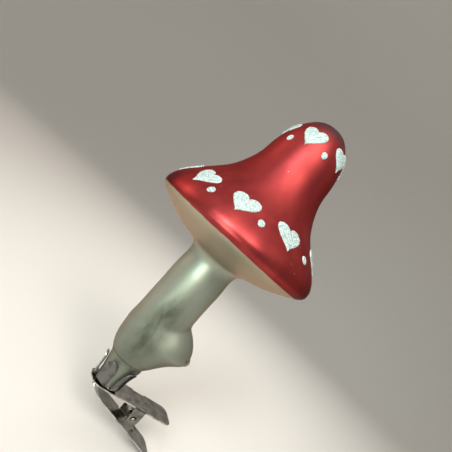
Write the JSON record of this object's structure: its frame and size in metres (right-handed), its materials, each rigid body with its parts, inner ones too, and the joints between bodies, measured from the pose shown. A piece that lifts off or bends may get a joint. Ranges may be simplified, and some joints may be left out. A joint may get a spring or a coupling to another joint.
{
  "type": "clip-on glass mushroom ornament",
  "caption": "Hollow blown-glass mushroom tree ornament with raised heart patches, held in a pronged crown on a sprung sheet-metal clip that grips a branch.",
  "frame": {"origin": "where the mushroom's axis meets the gripping face of the clip's upper arm", "axes": "+Z along the mushroom's axis towards its tip, +X towards the clip's handles, +Y along the clip's hinge pin"},
  "size_m": [0.0726, 0.0722, 0.1527],
  "materials": {
    "lacquered_glass": "satin red lacquer over silvered glass on the cap, pearl white lacquer on the underside and stem",
    "white_glitter": "fine glitter bedded in raised white paint",
    "plated_steel": "bright plated sheet steel with fine handling marks",
    "spring_wire": "drawn steel wire"
  },
  "bodies": {
    "ornament": {"crown": "plated_steel", "crown_rivet": "plated_steel", "dot_lower_1": "white_glitter", "dot_lower_2": "white_glitter", "dot_lower_3": "white_glitter", "dot_lower_4": "white_glitter", "dot_lower_5": "white_glitter", "dot_lower_6": "white_glitter", "dot_lower_7": "white_glitter", "dot_lower_8": "white_glitter", "dot_upper_1": "white_glitter", "dot_upper_2": "white_glitter", "dot_upper_3": "white_glitter", "dot_upper_4": "white_glitter", "dot_upper_5": "white_glitter", "dot_upper_6": "white_glitter", "glass_mushroom": "lacquered_glass", "heart_lower_1": "white_glitter", "heart_lower_2": "white_glitter", "heart_lower_3": "white_glitter", "heart_lower_4": "white_glitter", "heart_lower_5": "white_glitter", "heart_lower_6": "white_glitter", "heart_lower_7": "white_glitter", "heart_lower_8": "white_glitter", "heart_lower_9": "white_glitter", "heart_upper_1": "white_glitter", "heart_upper_2": "white_glitter", "heart_upper_3": "white_glitter", "heart_upper_4": "white_glitter", "heart_upper_5": "white_glitter", "heart_upper_6": "white_glitter", "hinge_pin": "plated_steel", "spring": "spring_wire", "upper_arm": "plated_steel"},
    "lower_arm": {"lower_arm": "plated_steel"}
  },
  "joints": [
    {"name": "jaw_hinge", "type": "hinge", "parent": "ornament", "child": "lower_arm", "pos_m": [0.018, 0, -0.0047], "axis": [0, -1, 0], "range_deg": [0, 30], "stiffness_Nm_per_rad": 0.05, "springref_deg": -40.11, "deforming": ["spring"]}
  ]
}
